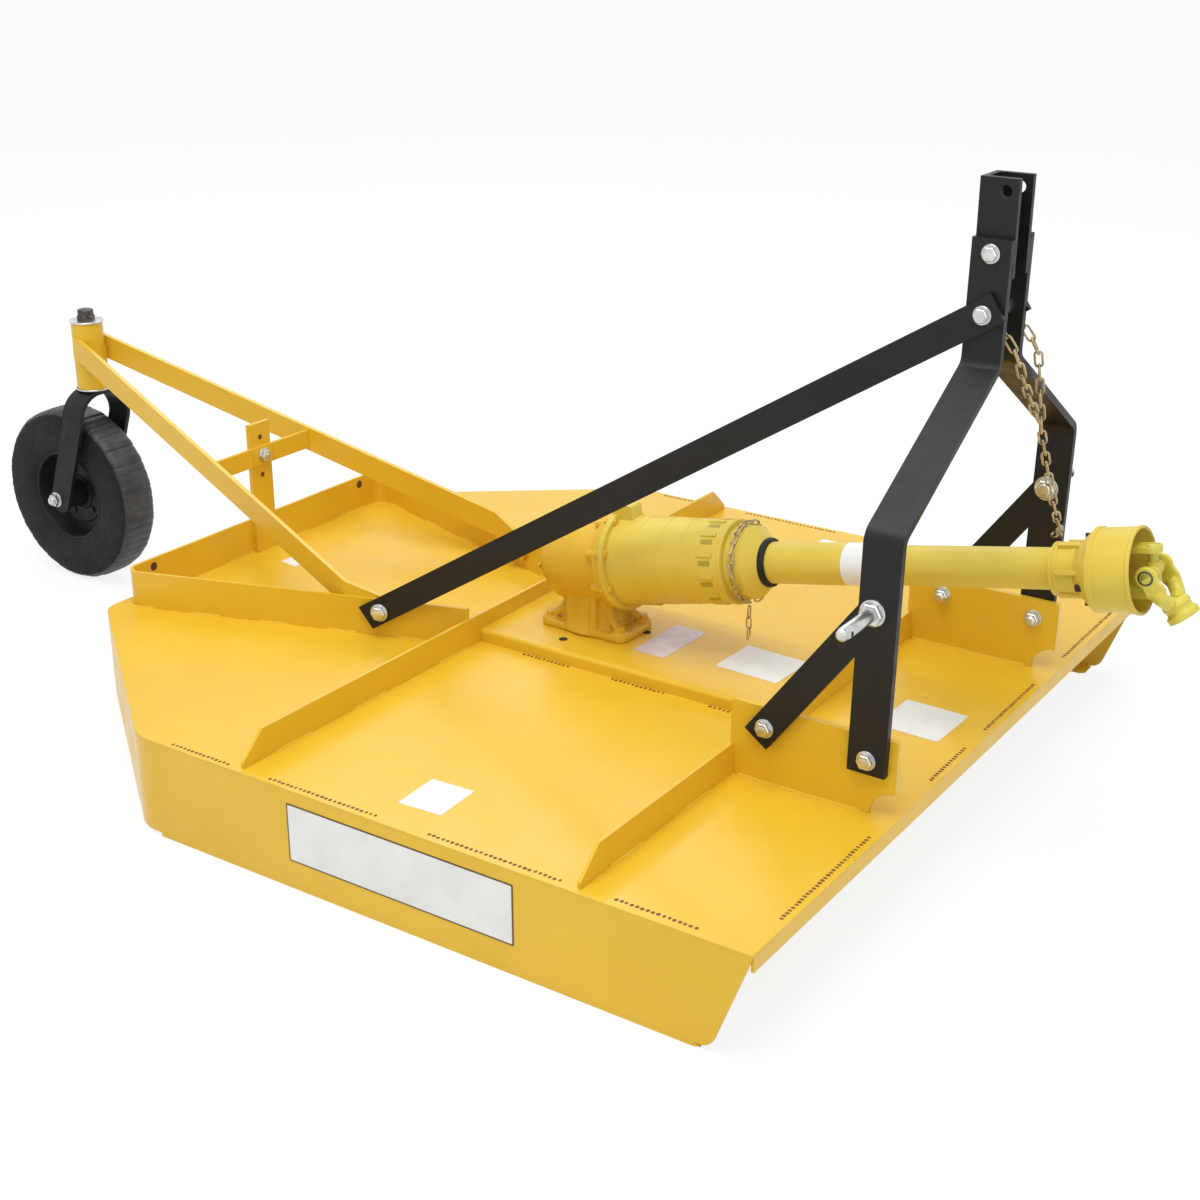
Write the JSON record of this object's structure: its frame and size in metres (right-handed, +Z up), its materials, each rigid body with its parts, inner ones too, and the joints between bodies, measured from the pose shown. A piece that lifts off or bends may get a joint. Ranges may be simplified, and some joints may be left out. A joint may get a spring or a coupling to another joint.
{
  "type": "rotary cutter",
  "caption": "Tractor-mounted rotary cutter with a steel deck, hitch frame, guarded drive shaft, swinging blades and a swivelling tail wheel.",
  "frame": {"origin": "on the ground, under the middle of the machine's length and width, with the cutter standing on its skid shoes and tail wheel", "axes": "+X forward to the tractor, +Y to the machine's left, +Z up"},
  "size_m": [2.8024, 1.6, 1.137],
  "materials": {
    "deck_paint": "gloss yellow paint",
    "cast_paint": "yellow paint on rough castings",
    "hitch_paint": "satin black paint",
    "guard_plastic": "smooth lemon-yellow plastic",
    "zinc_steel": "zinc plated",
    "bare_steel": "bare forged steel",
    "chain_plating": "yellow-zinc plated wire",
    "tyre_rubber": "laminated black rubber",
    "rim_paint": "black paint"
  },
  "bodies": {
    "mower_frame": {"deck_plate": "deck_paint", "deck_edges": "deck_paint", "skirt_right": "deck_paint", "skirt_left": "deck_paint", "skid_shoes": "deck_paint", "rear_rib": "deck_paint", "front_rib": "deck_paint", "centre_channel": "deck_paint", "hitch_brackets": "deck_paint", "leg_right": "hitch_paint", "leg_left": "hitch_paint", "hitch_struts": "hitch_paint", "lift_pins": "zinc_steel", "brace_right": "hitch_paint", "brace_left": "hitch_paint", "hitch_bolts": "zinc_steel", "tail_frame": "deck_paint", "tail_post": "deck_paint", "tail_crossbar": "deck_paint", "tail_arms": "deck_paint", "swivel_tube": "deck_paint", "gearbox_housing": "cast_paint", "gearbox_guard": "guard_plastic", "guard_cone_rear": "guard_plastic", "guard_tube_rear": "guard_plastic", "hitch_chain": "chain_plating", "guard_chain": "chain_plating"},
    "rotor": {"rotor_spindle": "bare_steel", "blade_pan": "bare_steel", "blade_bolts": "bare_steel"},
    "left_blade": {"blade_left": "bare_steel"},
    "right_blade": {"blade_right": "bare_steel"},
    "caster": {"caster_fork": "rim_paint", "caster_axle": "zinc_steel"},
    "tail_wheel": {"wheel_rim": "rim_paint", "wheel_tyre": "tyre_rubber"},
    "front_guard": {"guard_tube_front": "guard_plastic", "guard_collar_front": "guard_plastic", "guard_bell_front": "guard_plastic"},
    "shaft": {"drive_shaft": "bare_steel"},
    "cross": {"joint_cross": "bare_steel"},
    "front_yoke": {"tractor_yoke": "cast_paint", "yoke_hub": "cast_paint"},
    "clevis": {"top_clevis": "hitch_paint"}
  },
  "joints": [
    {"name": "rotor_spin", "type": "hinge", "parent": "mower_frame", "child": "rotor", "pos_m": [0.26982, 0, 0.1], "axis": [0, 0, 1], "continuous": true},
    {"name": "left_blade_swing", "type": "hinge", "parent": "rotor", "child": "left_blade", "pos_m": [0.26982, 0.21, 0.0735], "axis": [0, 0, 1], "range_deg": [-100, 100]},
    {"name": "right_blade_swing", "type": "hinge", "parent": "rotor", "child": "right_blade", "pos_m": [0.26982, -0.21, 0.0735], "axis": [0, 0, 1], "range_deg": [-100, 100]},
    {"name": "caster_swivel", "type": "hinge", "parent": "mower_frame", "child": "caster", "pos_m": [-1.11518, 0, 0.547], "axis": [0, 0, 1], "continuous": true},
    {"name": "tail_wheel_spin", "type": "hinge", "parent": "caster", "child": "tail_wheel", "pos_m": [-1.19618, 0, 0.205], "axis": [0, 1, 0], "continuous": true},
    {"name": "guard_slide", "type": "slide", "parent": "mower_frame", "child": "front_guard", "axis": [0.9816, 0, 0.1908], "range_m": [-0.15, 0.15]},
    {"name": "shaft_spin", "type": "hinge", "parent": "front_guard", "child": "shaft", "pos_m": [1.32307, 0, 0.55157], "axis": [0.9816, 0, 0.1908], "continuous": true},
    {"name": "cross_swing", "type": "hinge", "parent": "shaft", "child": "cross", "pos_m": [1.32307, 0, 0.55157], "axis": [-0.1908, 0, 0.9816], "range_deg": [-45, 45]},
    {"name": "yoke_swing", "type": "hinge", "parent": "cross", "child": "front_yoke", "pos_m": [1.32307, 0, 0.55157], "axis": [0, 1, 0], "range_deg": [-105, 0]},
    {"name": "clevis_swing", "type": "hinge", "parent": "mower_frame", "child": "clevis", "pos_m": [1.02982, 0, 1.023], "axis": [0, 1, 0], "range_deg": [-40, 40]}
  ],
  "couplings": [
    {"joint": "shaft_spin", "follows": "rotor_spin", "ratio": 0.518}
  ]
}
